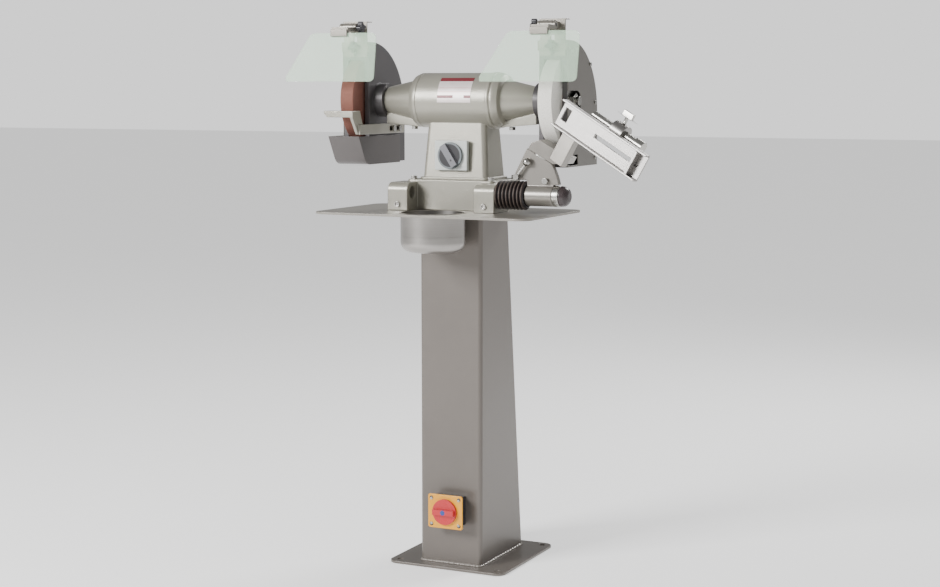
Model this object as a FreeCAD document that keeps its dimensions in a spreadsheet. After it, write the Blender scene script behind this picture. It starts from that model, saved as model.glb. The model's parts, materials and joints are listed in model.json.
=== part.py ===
"""Double-ended grinder on a sheet-steel pedestal, with eye shields, a tool rest and a
drill-sharpening attachment.  Millimetres.  +Z is up, -Y is the operator's side, +X is to the
operator's right.  The origin is the centre of the foot plate's underside."""
import FreeCAD, Part
import math
import os
import re
import Sketcher

doc = FreeCAD.newDocument("pedestal_grinder")
sheet = doc.addObject("Spreadsheet::Sheet", "Sizes")

SIZES = """
plate_wide 283          foot plate, left to right
plate_deep 292          foot plate, front to back
plate_thick 6           foot plate
plate_round 22          foot plate corner
plate_bolt_inset 22     floor bolt from the plate's edge
plate_bolt_rad 7        floor bolt hole
column_wide 150         sheet column, both ends
column_front 111.4      front wall, ahead of the plate's centre
column_foot_deep 226.5  column depth at the foot
column_head_deep 143    column depth at the head
column_head 787         top edge of the column
column_wall 3           sheet thickness
column_round 9          bend at the column's corners
cap_thick 6             plate that closes the column
hatch_wide 96           service cover behind the column
hatch_high 150          service cover behind the column
hatch_mid 300           service cover's centre above the floor
hatch_thick 2           service cover
tray_half 255           chip tray, half width
tray_front 276          chip tray's front edge
tray_back 36            chip tray's back edge
tray_thick 2            chip tray's sheet
tray_lip 5              depth of the rolled edge
tray_round 30           chip tray's corner
pot_rad 69.5            water pot's outside
pot_wall 1.2            water pot's sheet
pot_deep 84             water pot, under its rim
pot_round 22            water pot's bottom corner
pot_rim 3.2             rim beyond the pot's wall
pot_away 190            pot's centre, ahead of the origin
pot_side -3             pot's centre, across
running 0.05            clearance of a running fit, per side
seat 0.3                clearance of a loose fit, per side
box_half 105            base casting, half width
box_front 115           base casting's front face
box_back 35             base casting's back face
box_high 66             base casting's height
box_round 10            base casting's corner
box_wall 8              base casting's wall
boss_inner 79           clamp boss, inner face
boss_outer 128          clamp boss, outer face
boss_front 162          clamp boss, front face
boss_high 61            clamp boss's height
boss_round 17           clamp boss's top front corner
bar_away 137            attachment bar's axis, ahead of the origin
bar_up 39               attachment bar's axis above the tray
bar_rad 13              attachment bar
boss_screw_side 103.6   clamp screw, across
boss_screw_up 14        clamp screw above the tray
boss_screw_rad 4.5      clamp screw's shank
boss_screw_head 6.5     clamp screw's head
neck_low_half 79        neck's foot, half width
neck_top_half 70        neck's head, half width
neck_front 92           neck's foot, front face
neck_back 8             neck's foot, back face
neck_round 12           neck's upright corners
neck_high 124           neck's height, into the barrel
neck_wall 7             neck's wall
axis_away 47            wheel axis, ahead of the origin
axis_up =column_head+cap_thick+tray_thick+238 wheel axis above the floor
barrel_rad 60           motor barrel
barrel_wall 6           motor barrel
barrel_half 89          motor barrel, half length
bell_band 6             end bell's rim
bell_shoulder 15        end bell's rounded shoulder
bell_root_rad 45        end bell's cone at the barrel
bell_nose_rad 29        end bell's cone at the wheel
bell_nose 182           end bell's nose
bell_wall 6             end bell's wall
web_half 15             web under the cone, half thickness
web_low 58              web's lower edge at the barrel, under the axis
web_end_low 51          web's lower edge at the nose, under the axis
shaft_rad 12            rotor shaft
wheel_bore 10           wheel seat on the shaft
shaft_half 277          rotor shaft, half length
bearing_rad 22          ball bearing's outside
bearing_wide 14         ball bearing
bearing_mid 166         ball bearing's middle
rotor_rad 33            rotor core
rotor_half 45           rotor core, half length
air_gap 0.5             between rotor and stator
winding_long 16         winding overhang
wheel_rad 100           grinding wheel
wheel_wide 32           grinding wheel
wheel_mid 237           grinding wheel's middle plane
blotter_rad 45          paper washer beside the wheel
blotter_thick 0.8       paper washer beside the wheel
flange_rad 40           wheel flange
flange_thick 6          wheel flange
nut_across 30           wheel nut, across its flats
guard_inner 205         guard's inner face
guard_outer 269         guard's outer edge, under the cover
guard_front 101         guard's front plane
guard_back 68           guard's back
guard_low =axis_up-140  guard's flat bottom
guard_top =axis_up+128  guard's highest line
guard_round 155         guard's back arc
guard_wall 2.5          guard's sheet
guard_lip 11            front strip beside the mouth
guard_mouth_low =axis_up-103 bottom of the mouth
guard_mouth_top =axis_up+88 top of the mouth
cover_thick 2.5         guard's outer cover
cover_screw_rad 3       guard's cover screw
collar_rad 38           collar between bell and guard
scoop_front 160         spark scoop's front edge
scoop_top =axis_up-79   spark scoop's upper edge
scoop_wall 2            spark scoop's sheet
scoop_round 30          spark scoop's lower front corner
scoop_grow 5.5          spark scoop outside the guard
scoop_short 34          spark scoop's back end, ahead of the guard's back
strap_low =guard_top-22 height clamp's lower edge
strap_top =guard_top-1  height clamp's upper edge
strap_thick 7           height clamp's depth
slide_half 29           upright slide, half width
slide_low =guard_top-33 upright slide's lower end
slide_top =guard_top+43 upright slide's upper end
slide_thick 3           upright slide
slide_flange 17         slide's top flange, towards the back
slot_half 4             slot in the upright slide, half width
stud_rad 3              clamp stud
knob_rad 13             star knob
knob_thick 12           star knob
hinge_up =guard_top+31  shield's hinge line
hinge_away 132          shield's hinge line, ahead of the origin
hinge_rad 9             shield's hinge lug
hinge_half 14           shield's hinge lug, half length
hinge_pin_rad 4         shield's hinge pin
shield_away 178         shield's front face
shield_thick 3          clear shield
shield_low =guard_top-87 shield's lower edge
shield_top =guard_top+18 shield's upper edge
shield_left 137         shield beyond the wheel's plane, left
shield_right 92         shield beyond the wheel's plane, right
shield_cut 66           slanted left corner, across
shield_shoulder 95      slanted left corner, down
shield_round 12         shield's corners
shield_grip =guard_top+9 lower edge of the clamp on the shield
rest_left 274           rest table, outer end
rest_right 209          rest table, inner end
rest_gap 3              rest table to the wheel
rest_deep 34            rest table, front to back
rest_top =axis_up-23    rest table's working face
rest_thick 14           rest table
rest_arm_low =axis_up-75 rest arm's lower edge
rest_arm_high 22        rest arm's height
rest_arm_thick 8        rest arm
rest_arm_back 50        rest arm's back end
sleeve_start 196        swing sleeve's left end
sleeve_end 258          swing sleeve's right end
sleeve_rad 22           swing sleeve
bellows_rad 31          rubber bellows, crest
bellows_root 25         rubber bellows, root
bellows_rings 8         rubber bellows, crests
collar_long 14          end collar on the bar
bar_cap_rad 22          bar's end cap
bar_cap_long 20         bar's end cap
sector_rad 132          quadrant's curved edge
sector_centre 56        centre of that curve, left of the sleeve
sector_thick 14         quadrant
tilt 29                 quadrant's flat, from level
seat_up 83.8            pivot centre above the bar
seat_side 226           pivot centre, across
carrier_long 90         swivel carrier
carrier_deep 44         swivel carrier
carrier_high 30         swivel carrier
carrier_gap 3.5         packing washer under the carrier
yaw 12.5                trough turned towards the operator
trough_long 235         drill trough
trough_half 30          drill trough, half width
trough_wall 4           drill trough
trough_lip 14           trough's flanges
trough_side 281         trough's wheel end, across
trough_away 165         trough's wheel end, ahead of the origin
trough_up =axis_up-22   trough's wheel end above the floor
stop_from_end 26        end stop from the trough's tail
stop_thick 6            end stop
bracket_thick 20        bracket behind the trough
bracket_near 25         bracket from the trough's wheel end
bracket_far 60          bracket from the trough's wheel end
spindle_rad 9           feed spindle
spindle_start 60        feed spindle from the trough's wheel end
spindle_end 178         feed spindle
feed_knob_rad 12        feed knob
feed_knob_long 22       feed knob
ring_rad 20             clamp ring on the spindle
ring_start 118          clamp ring
ring_end 150            clamp ring
ring_up 30              clamp ring's centre above the trough's middle
switch_wide 78          motor switch plate
switch_high 65          motor switch plate
switch_deep 11          motor switch plate
switch_side -3          motor switch, across
switch_up =axis_up-119  motor switch above the floor
dial_rad 29             motor switch knob
dial_deep 14            motor switch knob
main_wide 84            main switch plate
main_high 76            main switch plate
main_plate 4            main switch plate
main_box_deep 30        main switch body
main_side 3             main switch, across
main_up 131             main switch above the floor
main_dial_rad 28.5      main switch knob
main_dial_deep 14       main switch knob
label_from -4           nameplate's lower edge, degrees above the front
label_span 58           nameplate, degrees round the barrel
label_left -34          nameplate's left edge
label_right 46          nameplate's right edge
label_thick 0.8         nameplate
"""

aliases = set()
for row, line in enumerate(SIZES.strip().splitlines(), start=1):
    word, number, note = re.split(r"\s+", line.strip(), maxsplit=2)
    sheet.set(f"A{row}", word)
    sheet.set(f"B{row}", number)
    sheet.set(f"C{row}", note)
    sheet.setAlias(f"B{row}", word)
    aliases.add(word)
doc.recompute()


# --- how expressions reach the sheet -----------------------------------------------------

def bound(text):
    """Writes an expression on aliases as one on the sheet's cells."""
    return re.sub(r"[a-z_]+", lambda m: f"Sizes.{m[0]}" if m[0] in aliases else m[0], str(text))


def value(text):
    """The number that such an expression has now."""
    return float(sheet.evalExpression(bound(text)))


def place(piece, spot=("0", "0", "0"), turns=()):
    """Binds a piece's Placement: turns are (axis, degrees) pairs, the last applied first."""
    where = "; ".join(bound(part) for part in spot)
    axes = {"X": "1; 0; 0", "Y": "0; 1; 0", "Z": "0; 0; 1"}
    spins = [f"rotation(vector({axes[axis]}); {bound(angle)})" for axis, angle in turns]
    spin = " * ".join(spins) or "rotation(vector(0; 0; 1); 0)"
    piece.setExpression("Placement", f"placement(vector({where}); {spin})")
    return piece


# --- plain solids --------------------------------------------------------------------------

def block(name, across, along, upright):
    """A box between two expressions on each axis."""
    piece = doc.addObject("Part::Box", name)
    for size, (low, high) in zip(("Length", "Width", "Height"), (across, along, upright)):
        piece.setExpression(size, bound(f"({high}) - ({low})"))
    return place(piece, (across[0], along[0], upright[0]))


TURNED_TO = {"X": (("Y", "90"),), "Y": (("X", "-90"),), "Z": ()}


def along_axis(axis, low, at):
    """The start of a round solid: `low` along its axis, `at` the other two, in X, Y, Z order."""
    spot = list(at)
    spot.insert("XYZ".index(axis), low)
    return spot


def rod(name, radius, axis, span, at):
    """A round bar along X, Y or Z."""
    piece = doc.addObject("Part::Cylinder", name)
    piece.setExpression("Radius", bound(radius))
    piece.setExpression("Height", bound(f"({span[1]}) - ({span[0]})"))
    return place(piece, along_axis(axis, span[0], at), TURNED_TO[axis])


def taper(name, start, end, axis, span, at):
    """A cone frustum along X, Y or Z."""
    piece = doc.addObject("Part::Cone", name)
    piece.setExpression("Radius1", bound(start))
    piece.setExpression("Radius2", bound(end))
    piece.setExpression("Height", bound(f"({span[1]}) - ({span[0]})"))
    return place(piece, along_axis(axis, span[0], at), TURNED_TO[axis])


def hexagon(name, across, axis, span, at):
    """A six-sided bar, `across` its flats."""
    piece = doc.addObject("Part::Prism", name)
    piece.Polygon = 6
    piece.setExpression("Circumradius", bound(f"({across}) / sqrt(3)"))
    piece.setExpression("Height", bound(f"({span[1]}) - ({span[0]})"))
    return place(piece, along_axis(axis, span[0], at), TURNED_TO[axis])


def ball(name, radius, at):
    piece = doc.addObject("Part::Sphere", name)
    piece.setExpression("Radius", bound(radius))
    return place(piece, at)


def fuse(name, *pieces):
    joined = doc.addObject("Part::MultiFuse", name)
    joined.Shapes = list(pieces)
    joined.Refine = True
    return joined


def cut(name, base, *tools):
    result = doc.addObject("Part::Cut", name)
    result.Base = base
    result.Tool = tools[0] if len(tools) == 1 else fuse(f"{name}_tools", *tools)
    result.Refine = True
    return result


def group(name, *pieces):
    """Separate solids of one node."""
    bundle = doc.addObject("Part::Compound", name)
    bundle.Links = list(pieces)
    return bundle


# --- sketched solids -----------------------------------------------------------------------

def sketch_in(body, plane, name, points, offset="0"):
    """A closed outline whose corners are bound to expressions, on one of the body's planes."""
    sketch = body.newObject("Sketcher::SketchObject", name)
    role = f"{plane}_Plane"
    flat = next(item for item in body.Origin.OriginFeatures if item.Role == role)
    sketch.AttachmentSupport = [(flat, "")]
    sketch.MapMode = "FlatFace"
    sketch.setExpression("AttachmentOffset.Base.z", bound(offset))
    corners = [FreeCAD.Vector(value(a), value(b)) for a, b in points]
    count = len(corners)
    for i in range(count):
        sketch.addGeometry(Part.LineSegment(corners[i], corners[(i + 1) % count]), False)
    for i in range(count):
        sketch.addConstraint(Sketcher.Constraint("Coincident", i, 2, (i + 1) % count, 1))
    for i, pair in enumerate(points):
        for kind, text in zip(("DistanceX", "DistanceY"), pair):
            number = sketch.addConstraint(Sketcher.Constraint(kind, -1, 1, i, 1, value(text)))
            sketch.setExpression(f"Constraints[{number}]", bound(text))
    return sketch


def round_edges(body, base, chosen, radius, name):
    """Fillets the edges of `base` that `chosen` picks."""
    doc.recompute()
    edges = [f"Edge{i}" for i, edge in enumerate(base.Shape.Edges, start=1) if chosen(edge)]
    rounded = body.newObject("PartDesign::Fillet", name)
    rounded.Base = (base, edges)
    rounded.setExpression("Radius", bound(radius))
    return rounded


def extruded(name, plane, points, span, rounds=()):
    """An outline carried from span[0] to span[1] along the axis that the plane lacks.
    rounds: (corner numbers, radius) pairs."""
    body = doc.addObject("PartDesign::Body", name)
    axis = {"XY": "Z", "XZ": "Y", "YZ": "X"}[plane]
    offset = f"-({span[1]})" if axis == "Y" else span[0]
    sketch = sketch_in(body, plane, f"{name}_outline", points, offset)
    pad = body.newObject("PartDesign::Pad", f"{name}_pad")
    pad.Profile = sketch
    pad.setExpression("Length", bound(f"({span[1]}) - ({span[0]})"))
    last = pad
    for number, (corners, radius) in enumerate(rounds):
        spots = [tuple(value(text) for text in points[i]) for i in corners]
        first, second = {"X": ("y", "z"), "Y": ("x", "z"), "Z": ("x", "y")}[axis]

        def at_corner(edge):
            middle = (edge.Vertexes[0].Point + edge.Vertexes[-1].Point) / 2
            ends = [(getattr(v.Point, first), getattr(v.Point, second)) for v in edge.Vertexes]
            same = math.dist(ends[0], ends[-1]) < 1e-6
            here = (getattr(middle, first), getattr(middle, second))
            return same and any(math.dist(here, spot) < 1e-4 for spot in spots)

        last = round_edges(body, last, at_corner, radius, f"{name}_round_{number}")
    body.Tip = last
    return body


def turned(name, points, axis, at):
    """A profile of (distance along the axis, radius) points, revolved about that axis."""
    body = doc.addObject("PartDesign::Body", name)
    sketch = sketch_in(body, "XZ", f"{name}_profile", points)
    spin = body.newObject("PartDesign::Revolution", f"{name}_turn")
    spin.Profile = sketch
    spin.ReferenceAxis = (sketch, ["H_Axis"])
    spin.Angle = 360
    body.Tip = spin
    spot = along_axis(axis, "0", at)
    return place(body, spot, {"X": (), "Y": (("Z", "90"),), "Z": (("Y", "-90"),)}[axis])


def tapered(name, corners, heights, drawn_in, radius=None):
    """An upright block whose four sides each lean in by `drawn_in` between its two heights."""
    body = doc.addObject("PartDesign::Body", name)
    x0, x1, y0, y1 = corners
    outline = [(x0, y0), (x1, y0), (x1, y1), (x0, y1)]
    pad = body.newObject("PartDesign::Pad", f"{name}_pad")
    pad.Profile = sketch_in(body, "XY", f"{name}_outline", outline, heights[0])
    rise = f"(({heights[1]}) - ({heights[0]}))"
    pad.setExpression("Length", bound(rise))
    pad.setExpression("TaperAngle", bound(f"-atan(({drawn_in}) / {rise})"))

    def upright(edge):
        return abs(edge.Vertexes[0].Point.z - edge.Vertexes[-1].Point.z) > 1

    body.Tip = round_edges(body, pad, upright, radius, f"{name}_round") if radius else pad
    return body


nodes = []


def node(piece, name=None):
    """Keeps a piece as a sub-part of the object."""
    if name:
        piece.Label = name
    nodes.append(piece)
    return piece


def across(side, near, far):
    """A span at `near` to `far` from the middle plane, on the left or the right."""
    return (near, far) if side == "right" else (f"-({far})", f"-({near})")


# === Pedestal ==============================================================================

tray_top = "column_head + cap_thick + tray_thick"
bolt_x = "plate_wide / 2 - plate_bolt_inset"
bolt_y = "plate_deep / 2 - plate_bolt_inset"

plate = extruded("plate_blank", "XY",
                 [("-plate_wide / 2", "-plate_deep / 2"), ("plate_wide / 2", "-plate_deep / 2"),
                  ("plate_wide / 2", "plate_deep / 2"), ("-plate_wide / 2", "plate_deep / 2")],
                 ("0", "plate_thick"), [(range(4), "plate_round")])
holes = [rod(f"floor_hole_{i}_{j}", "plate_bolt_rad", "Z", ("-1", "plate_thick + 1"),
             (f"{i} * ({bolt_x})", f"{j} * ({bolt_y})")) for i in (-1, 1) for j in (-1, 1)]
node(cut("base_plate", plate, *holes))


def column_wedge(name, inset, foot, head):
    """The column's block: upright in front, leaning at the back; inset from the outside."""
    rise = "(column_foot_deep - column_head_deep) / (column_head - plate_thick)"
    back = [f"column_foot_deep - column_front - {inset} - ({up} - plate_thick) * {rise}"
            for up in (foot, head)]
    return extruded(name, "YZ",
                    [(f"-column_front + {inset}", foot), (back[0], foot),
                     (back[1], head), (f"-column_front + {inset}", head)],
                    (f"-column_wide / 2 + {inset}", f"column_wide / 2 - {inset}"))


def round_column(name, body, radius):
    """Bends the four long corners of the column's block."""
    def long_edge(edge):
        first, last = edge.Vertexes[0].Point, edge.Vertexes[-1].Point
        return abs(first.z - last.z) > abs(first.y - last.y) and abs(first.z - last.z) > 1
    body.Tip = round_edges(body, body.Tip, long_edge, radius, name)
    return body


outside = round_column("column_bend", column_wedge("column_outside", "0", "plate_thick",
                                                   "column_head"), "column_round")
inside = round_column("column_bend_inside",
                      column_wedge("column_inside", "column_wall", "plate_thick - 1",
                                   "column_head + 1"), "column_round - column_wall")
cable_hole = rod("column_cable_hole", "14", "Y", ("-column_front - 5", "-column_front + 10"),
                 ("main_side", "main_up"))
hatch_hole = block("column_hatch_hole", ("-hatch_wide / 2 + 10", "hatch_wide / 2 - 10"),
                   ("0", "200"), ("hatch_mid - hatch_high / 2 + 10", "hatch_mid + hatch_high / 2 - 10"))
node(cut("column", outside, inside, cable_hole, hatch_hole))

# The service cover follows the leaning back wall.
lean = "atan((column_foot_deep - column_head_deep) / (column_head - plate_thick))"
back_at_hatch = ("column_foot_deep - column_front - (hatch_mid - plate_thick)"
                 " * (column_foot_deep - column_head_deep) / (column_head - plate_thick)")
hatch = extruded("column_hatch", "XZ",
                 [("-hatch_wide / 2", "-hatch_high / 2"), ("hatch_wide / 2", "-hatch_high / 2"),
                  ("hatch_wide / 2", "hatch_high / 2"), ("-hatch_wide / 2", "hatch_high / 2")],
                 ("0", "hatch_thick"), [(range(4), "8")])
node(place(hatch, ("0", back_at_hatch, "hatch_mid"), (("X", lean),)))

cap_back = "column_head_deep - column_front"
cap = extruded("cap_blank", "XY",
               [("-column_wide / 2", "-column_front"), ("column_wide / 2", "-column_front"),
                ("column_wide / 2", cap_back), ("-column_wide / 2", cap_back)],
               ("column_head", "column_head + cap_thick"), [(range(4), "column_round")])
cap_hole = rod("cap_cable_hole", "18", "Z", ("column_head - 1", "column_head + cap_thick + 1"),
               ("0", "-neck_front / 2"))
node(cut("column_cap", cap, cap_hole))

# === Chip tray and water pot ===============================================================

tray_under = "column_head + cap_thick"
tray_corners = [("-tray_half", "-tray_front"), ("tray_half", "-tray_front"),
                ("tray_half", "tray_back"), ("-tray_half", "tray_back")]
inner_corners = [("-tray_half + tray_thick", "-tray_front + tray_thick"),
                 ("tray_half - tray_thick", "-tray_front + tray_thick"),
                 ("tray_half - tray_thick", "tray_back - tray_thick"),
                 ("-tray_half + tray_thick", "tray_back - tray_thick")]
tray_block = extruded("tray_block", "XY", tray_corners, (f"{tray_top} - tray_lip", tray_top),
                      [(range(4), "tray_round")])
tray_hollow = extruded("tray_hollow", "XY", inner_corners,
                       (f"{tray_top} - tray_lip - 1", tray_under),
                       [(range(4), "tray_round - tray_thick")])
pot_hole = rod("tray_pot_hole", "pot_rad + seat", "Z", (f"{tray_top} - 20", f"{tray_top} + 5"),
               ("pot_side", "-pot_away"))
tray_cable = rod("tray_cable_hole", "18", "Z", (f"{tray_top} - 20", f"{tray_top} + 5"),
                 ("0", "-neck_front / 2"))
node(cut("chip_tray", tray_block, tray_hollow, pot_hole, tray_cable))


def pot_form(name, inset, top):
    """The pot's round body, drawn in from its outside, closed below with a rounded corner."""
    low = f"-pot_deep + {inset}"
    corner = "pot_round"
    slant = f"({corner}) * 0.293"
    points = [(low, "0"), (low, f"pot_rad - {corner}"),
              (f"{low} + {slant}", f"pot_rad - {inset} - {slant}"),
              (f"{low} + {corner}", f"pot_rad - {inset}"), (top, f"pot_rad - {inset}"), (top, "0")]
    return turned(name, points, "Z", ("pot_side", "-pot_away"))


def lifted(piece, spot):
    return place(piece, spot, (("Y", "-90"),))


pot_spot = ("pot_side", "-pot_away", f"{tray_top}")
pot_out = lifted(pot_form("pot_outside", "0", "0"), pot_spot)
pot_in = lifted(pot_form("pot_inside", "pot_wall", "5"), pot_spot)
pot_lip = rod("pot_lip", "pot_rad + pot_rim", "Z", (tray_top, f"{tray_top} + pot_wall"),
              ("pot_side", "-pot_away"))
node(cut("water_pot", fuse("pot_body", pot_out, pot_lip), pot_in))

# === Base casting, with the two clamp bosses ===============================================

box_top = f"{tray_top} + box_high"
box = extruded("box_blank", "XY",
               [("-box_half", "-box_front"), ("box_half", "-box_front"),
                ("box_half", "box_back"), ("-box_half", "box_back")],
               (tray_top, box_top), [(range(4), "box_round")])
box_room = block("box_room", ("-box_half + box_wall", "box_half - box_wall"),
                 ("-box_front + box_wall", "box_back - box_wall"),
                 (f"{tray_top} - 1", f"{box_top} - box_wall"))
box_wires = rod("box_wire_hole", "24", "Z", (f"{box_top} - box_wall - 5", f"{box_top} + 5"),
                ("0", "-neck_front / 2"))
bar_up_z = f"{tray_top} + bar_up"
bosses, boss_bores, screw_seats, boss_screws, base_bolts = [], [], [], [], []
for side in ("left", "right"):
    span = across(side, "boss_inner", "boss_outer")
    sign = "1" if side == "right" else "-1"
    bosses.append(extruded(f"boss_{side}", "YZ",
                           [("-boss_front", tray_top), ("-box_front + 30", tray_top),
                            ("-box_front + 30", f"{tray_top} + boss_high"),
                            ("-boss_front", f"{tray_top} + boss_high")],
                           span, [((3,), "boss_round")]))
    boss_bores.append(rod(f"boss_bore_{side}", "bar_rad + running", "X",
                          (f"{span[0]} - 1", f"{span[1]} + 1"), ("-bar_away", bar_up_z)))
    screw_spot = (f"{sign} * boss_screw_side", f"{tray_top} + boss_screw_up")
    tip = "-bar_away - 4"
    screw_seats.append(rod(f"boss_thread_{side}", "boss_screw_rad + running", "Y",
                           ("-boss_front - 1", tip), screw_spot))
    head = rod(f"boss_head_{side}", "boss_screw_head", "Y", ("-boss_front - 3.5", "-boss_front"),
               screw_spot)
    shank = rod(f"boss_shank_{side}", "boss_screw_rad", "Y", ("-boss_front", "-bar_away - 6"),
                screw_spot)
    socket = hexagon(f"boss_socket_{side}", "6", "Y", ("-boss_front - 4", "-boss_front - 1.5"),
                     screw_spot)
    boss_screws.append(cut(f"boss_screw_{side}", fuse(f"boss_pin_{side}", head, shank), socket))
    bolt_spot = (f"{sign} * (box_half - 12)", "-box_front + 13")
    base_bolts.append(hexagon(f"base_bolt_front_{side}", "13", "Z", (box_top, f"{box_top} + 7"),
                              bolt_spot))
    base_bolts.append(hexagon(f"base_bolt_back_{side}", "13", "Z", (box_top, f"{box_top} + 7"),
                              (f"{sign} * (box_half - 12)", "box_back - 13")))
node(cut("base_casting", fuse("base_solid", box, *bosses), box_room, box_wires, *boss_bores,
         *screw_seats))

# === Motor casting: neck and barrel ========================================================

at_axis = ("-axis_away", "axis_up")


def neck_form(name, inset, low, high, radius=None):
    return tapered(name, (f"-neck_low_half + {inset}", f"neck_low_half - {inset}",
                          f"-neck_front + {inset}", f"neck_back - {inset}"),
                   (low, high), "neck_low_half - neck_top_half", radius)


neck = neck_form("neck_outside", "0", box_top, f"{box_top} + neck_high", "neck_round")
neck_room = neck_form("neck_inside", "neck_wall", f"{box_top} - 1", f"{box_top} + neck_high - 25")
ledge = extruded("neck_ledge", "XY",
                 [("-neck_low_half - 5", "-neck_front - 5"), ("neck_low_half + 5", "-neck_front - 5"),
                  ("neck_low_half + 5", "neck_back + 5"), ("-neck_low_half - 5", "neck_back + 5")],
                 (box_top, f"{box_top} + 5"), [(range(4), "neck_round")])
barrel = rod("barrel_outside", "barrel_rad", "X", ("-barrel_half", "barrel_half"), at_axis)
barrel_bore = rod("barrel_bore", "barrel_rad - barrel_wall", "X",
                  ("-barrel_half - 1", "barrel_half + 1"), at_axis)
switch_bore = rod("neck_switch_hole", "14", "Y", ("-neck_front - 5", "-neck_front + 20"),
                  ("switch_side", "switch_up"))
node(cut("motor_housing", fuse("motor_solid", neck, ledge, barrel), neck_room, barrel_bore,
         switch_bore))

# === End bells, with the webs that carry the guards ========================================

bearings = []
for side in ("left", "right"):
    sign = 1 if side == "right" else -1
    root = "barrel_half + bell_band + bell_shoulder"
    ease = "bell_shoulder * 0.293"
    skin = [("barrel_half", "barrel_rad"), ("barrel_half + bell_band", "barrel_rad"),
            (f"barrel_half + bell_band + bell_shoulder - {ease}", f"barrel_rad - {ease}"),
            (root, "bell_root_rad"), ("bell_nose", "bell_nose_rad"), ("bell_nose", "shaft_rad + 1"),
            ("bell_nose - 8", "shaft_rad + 1"), ("bell_nose - 8", "bearing_rad"),
            ("bearing_mid - bearing_wide / 2", "bearing_rad"),
            ("bearing_mid - bearing_wide / 2", "bearing_rad - 3"),
            ("bearing_mid - bearing_wide / 2 - 6", "bearing_rad - 3"),
            (root, "bell_root_rad - bell_wall"),
            ("barrel_half + bell_band", "barrel_rad - barrel_wall"),
            ("barrel_half", "barrel_rad - barrel_wall")]
    shell = turned(f"bell_shell_{side}", [(f"{sign} * ({a})", b) for a, b in skin], "X", at_axis)
    web = extruded(f"bell_web_{side}", "XZ",
                   [(f"{sign} * (barrel_half + bell_band)", "axis_up - web_low"),
                    (f"{sign} * bell_nose", "axis_up - web_end_low"),
                    (f"{sign} * bell_nose", "axis_up - bell_nose_rad + 3"),
                    (f"{sign} * ({root} + 4)", "axis_up - bell_root_rad + bell_wall / 2"),
                    (f"{sign} * (barrel_half + bell_band)", "axis_up - barrel_rad + barrel_wall")],
                   ("-axis_away - web_half", "-axis_away + web_half"))
    trim = turned(f"bell_room_{side}",
                  [(f"{sign} * ({a})", b) for a, b in
                   [("barrel_half - 1", "0"), ("bell_nose + 1", "0"), ("bell_nose + 1", "shaft_rad + 1"),
                    ("bell_nose - 8", "shaft_rad + 1"), ("bell_nose - 8", "bearing_rad"),
                    ("bearing_mid - bearing_wide / 2", "bearing_rad"),
                    ("bearing_mid - bearing_wide / 2", "bearing_rad - 3"),
                    ("bearing_mid - bearing_wide / 2 - 6", "bearing_rad - 3"),
                    (root, "bell_root_rad - bell_wall"),
                    ("barrel_half + bell_band", "barrel_rad - barrel_wall"),
                    ("barrel_half - 1", "barrel_rad - barrel_wall")]], "X", at_axis)
    node(cut(f"end_bell_{side}", fuse(f"bell_solid_{side}", shell, web), trim))
    mid = across(side, "bearing_mid - bearing_wide / 2", "bearing_mid + bearing_wide / 2")
    race = rod(f"race_{side}", "bearing_rad - running", "X", mid, at_axis)
    bore = rod(f"race_bore_{side}", "shaft_rad + running", "X", (f"{mid[0]} - 1", f"{mid[1]} + 1"),
               at_axis)
    bearings.append(cut(f"bearing_{side}", race, bore))
    base_bolts.append(hexagon(f"web_bolt_{side}", "13", "Z",
                              ("axis_up - web_low - 6", "axis_up - web_low + 1"),
                              (f"{sign} * ({root} + 9)", "-axis_away")))
node(group("bearings", *bearings))

# === Stator, windings, rotor and shaft =====================================================

stator_body = rod("stator_body", "barrel_rad - barrel_wall", "X", ("-rotor_half", "rotor_half"), at_axis)
stator_bore = rod("stator_bore", "rotor_rad + air_gap", "X", ("-rotor_half - 1", "rotor_half + 1"),
                  at_axis)
node(cut("stator_core", stator_body, stator_bore))
windings = []
for side in ("left", "right"):
    reach = across(side, "rotor_half", "rotor_half + winding_long")
    coil = rod(f"coil_{side}", "barrel_rad - barrel_wall - 4", "X", reach, at_axis)
    room = rod(f"coil_room_{side}", "rotor_rad + 4", "X", (f"{reach[0]} - 1", f"{reach[1]} + 1"),
               at_axis)
    windings.append(cut(f"winding_{side}", coil, room))
node(group("windings", *windings))

core = rod("core_body", "rotor_rad", "X", ("-rotor_half", "rotor_half"), at_axis)
core_bore = rod("core_bore", "shaft_rad + running", "X", ("-rotor_half - 1", "rotor_half + 1"), at_axis)
node(cut("rotor_core", core, core_bore))

wheel_in = "wheel_mid - wheel_wide / 2"
wheel_out = "wheel_mid + wheel_wide / 2"
shoulder = f"{wheel_in} - blotter_thick - flange_thick"
node(turned("rotor_shaft",
            [(f"-shaft_half", "0"), ("shaft_half", "0"), ("shaft_half", "wheel_bore"),
             (shoulder, "wheel_bore"), (shoulder, "shaft_rad"),
             (f"-({shoulder})", "shaft_rad"), (f"-({shoulder})", "wheel_bore"),
             ("-shaft_half", "wheel_bore")], "X", at_axis))


def washer(name, radius, hole, side, near, far):
    span = across(side, near, far)
    disc = rod(f"{name}_disc", radius, "X", span, at_axis)
    bore = rod(f"{name}_bore", hole, "X", (f"{span[0]} - 1", f"{span[1]} + 1"), at_axis)
    return cut(name, disc, bore)


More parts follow.
